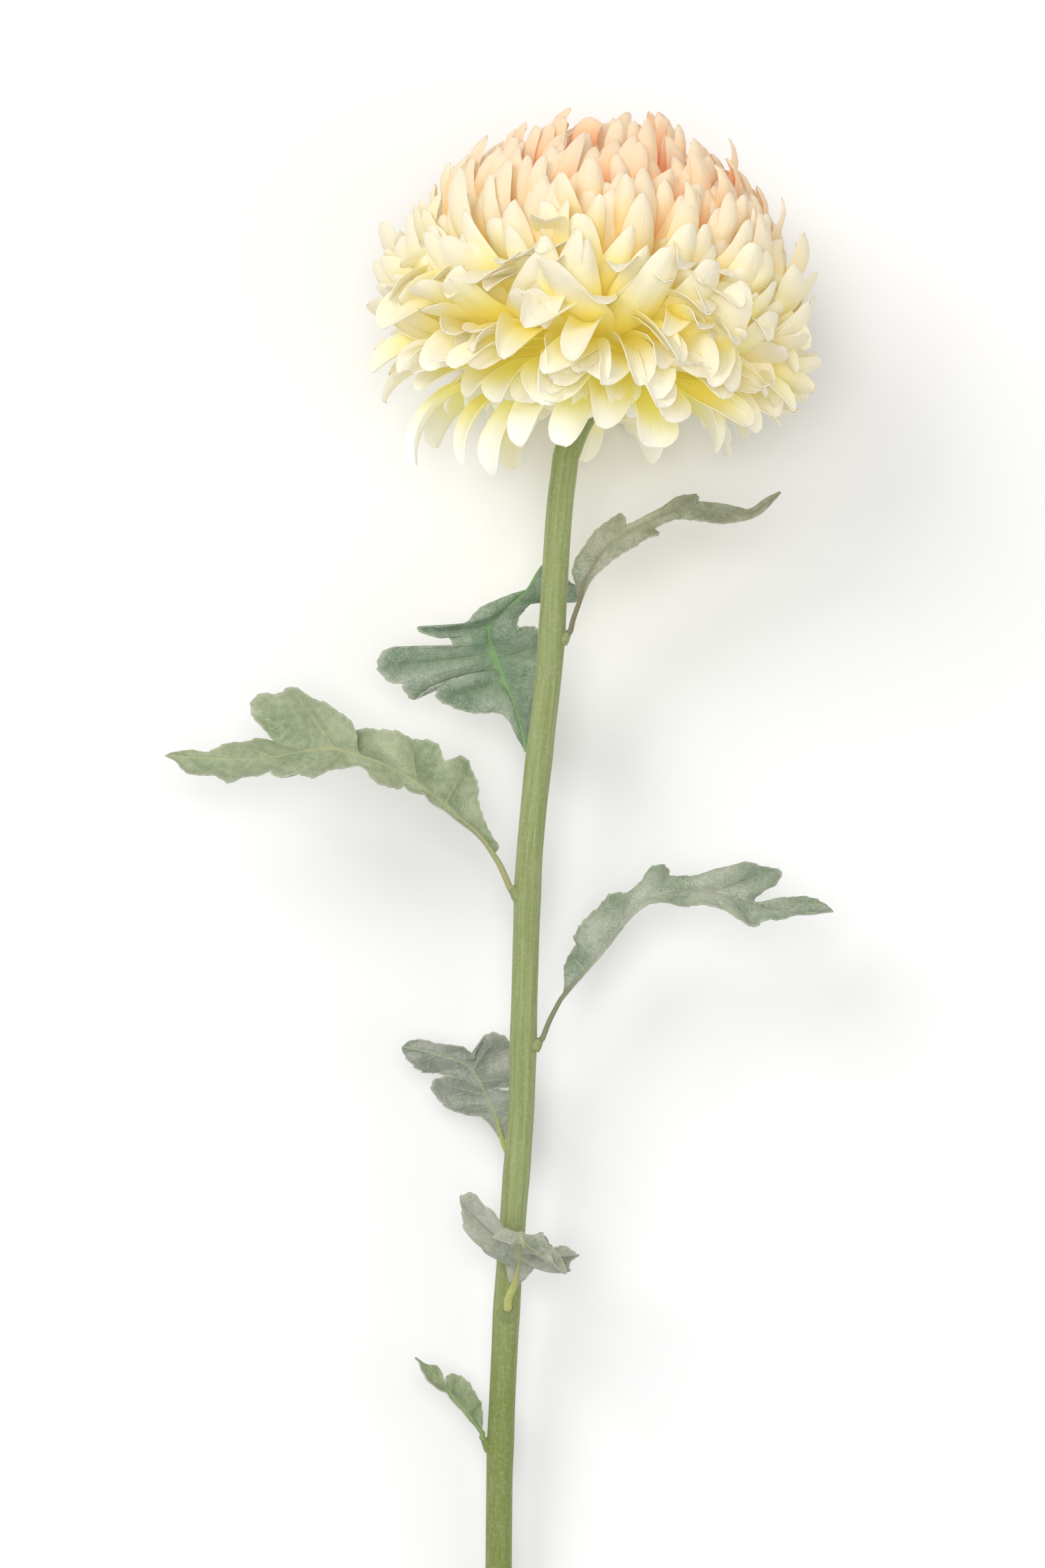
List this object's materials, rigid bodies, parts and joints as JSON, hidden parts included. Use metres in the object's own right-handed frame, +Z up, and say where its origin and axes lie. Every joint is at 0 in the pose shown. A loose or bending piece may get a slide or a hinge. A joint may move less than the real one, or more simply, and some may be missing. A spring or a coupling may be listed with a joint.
{
  "type": "artificial chrysanthemum stem",
  "caption": "Long-stemmed artificial pompon chrysanthemum with a large round head of cream and blush petals and lobed grey-green leaves, lying on its side.",
  "frame": {"origin": "middle of the box round the lying stem, on the surface it lies on", "axes": "+X to the flower's right, +Y from the cut end to the head, +Z up off the surface"},
  "size_m": [0.2176, 0.5596, 0.1439],
  "materials": {
    "stem": "matt moulded plastic with fine ridges along it",
    "ray_petals": "matt cloth, ivory tips and yellow bases",
    "crown_petals": "matt cloth, blush tips and coral bases",
    "leaf_upper_right": "flocked cloth, grey-green",
    "leaf_upper_left": "flocked cloth, dark green",
    "leaf_left_arching": "flocked cloth, light green",
    "leaf_right_forked": "flocked cloth, grey-green",
    "leaf_middle_left": "flocked cloth, grey-green",
    "leaf_front_low": "flocked cloth, grey-green",
    "leaf_bottom_left": "flocked cloth, green"
  },
  "bodies": {
    "root": {"stem": "stem", "ray_petals": "ray_petals", "crown_petals": "crown_petals", "leaf_upper_right": "leaf_upper_right", "leaf_upper_left": "leaf_upper_left", "leaf_left_arching": "leaf_left_arching", "leaf_right_forked": "leaf_right_forked", "leaf_middle_left": "leaf_middle_left", "leaf_front_low": "leaf_front_low", "leaf_bottom_left": "leaf_bottom_left"}
  },
  "joints": []
}
